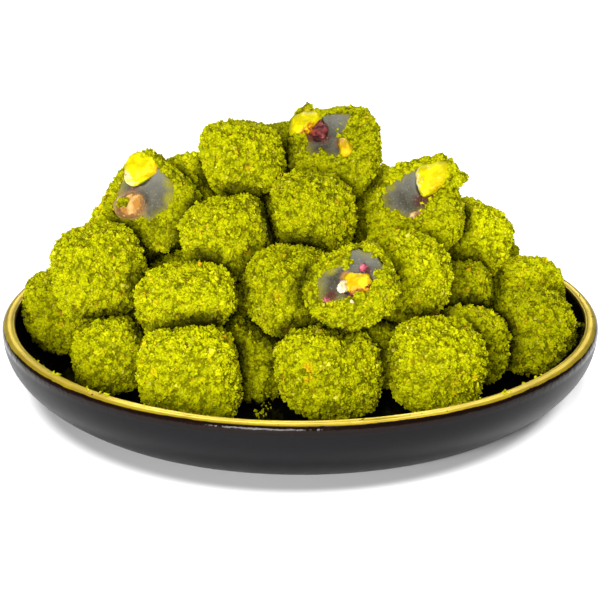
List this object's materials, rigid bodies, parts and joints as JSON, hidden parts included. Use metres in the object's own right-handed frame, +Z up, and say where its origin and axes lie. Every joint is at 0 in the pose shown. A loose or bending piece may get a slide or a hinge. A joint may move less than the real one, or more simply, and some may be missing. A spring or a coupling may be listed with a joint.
{
  "type": "turkish delight in a serving dish",
  "caption": "Heap of soft sweets rolled in ground pistachio, some cut open to show jelly and whole nuts, in a shallow round black dish with a gilded rim.",
  "frame": {"origin": "centre of the dish's foot, on the surface it stands on", "axes": "+Z up; -Y towards the person who is served, so +X is to that person's right"},
  "size_m": [0.2, 0.2, 0.0878],
  "materials": {
    "glazed_dish": "satin black glaze with a brushed gilded rim",
    "ground_pistachio": "coarse dry crumb",
    "jelly": "moist and slightly cloudy",
    "nut_kernel": "smooth with a slight sheen",
    "dried_fruit": "moist"
  },
  "bodies": {
    "root": {"dish": "glazed_dish", "left_rim": "ground_pistachio", "front_left_small": "ground_pistachio", "front_left": "ground_pistachio", "front_middle": "ground_pistachio", "front_right": "ground_pistachio", "right_inner": "ground_pistachio", "right_rim": "ground_pistachio", "far_right_rim": "ground_pistachio", "behind_small": "ground_pistachio", "between_left": "ground_pistachio", "between_right": "ground_pistachio", "left_big": "ground_pistachio", "slab": "ground_pistachio", "middle": "ground_pistachio", "middle_right": "ground_pistachio", "right_big": "ground_pistachio", "right_slot": "ground_pistachio", "left_shoulder": "ground_pistachio", "upper_left": "ground_pistachio", "upper_middle": "ground_pistachio", "upper_left_back": "ground_pistachio", "upper_right_back": "ground_pistachio", "top_left": "ground_pistachio", "top_back": "ground_pistachio", "cut_middle_coat": "ground_pistachio", "cut_middle_jelly": "jelly", "cut_middle_kernel_1": "nut_kernel", "cut_left_coat": "ground_pistachio", "cut_left_jelly": "jelly", "cut_left_kernel_1": "nut_kernel", "cut_left_kernel_2": "nut_kernel", "cut_right_coat": "ground_pistachio", "cut_right_jelly": "jelly", "cut_right_kernel_1": "nut_kernel", "cut_top_coat": "ground_pistachio", "cut_top_jelly": "jelly", "cut_top_kernel_1": "nut_kernel", "cut_top_kernel_2": "nut_kernel", "cut_top_fruit_3": "dried_fruit", "floor_inner_1": "ground_pistachio", "floor_inner_2": "ground_pistachio", "floor_middle_1": "ground_pistachio", "floor_middle_2": "ground_pistachio", "floor_middle_3": "ground_pistachio", "floor_middle_4": "ground_pistachio", "floor_outer_1": "ground_pistachio", "floor_outer_2": "ground_pistachio", "floor_outer_3": "ground_pistachio", "floor_outer_4": "ground_pistachio", "floor_outer_5": "ground_pistachio", "floor_outer_6": "ground_pistachio", "second_inner_1": "ground_pistachio", "second_outer_1": "ground_pistachio", "second_outer_2": "ground_pistachio", "second_outer_3": "ground_pistachio", "second_outer_4": "ground_pistachio"}
  },
  "joints": []
}
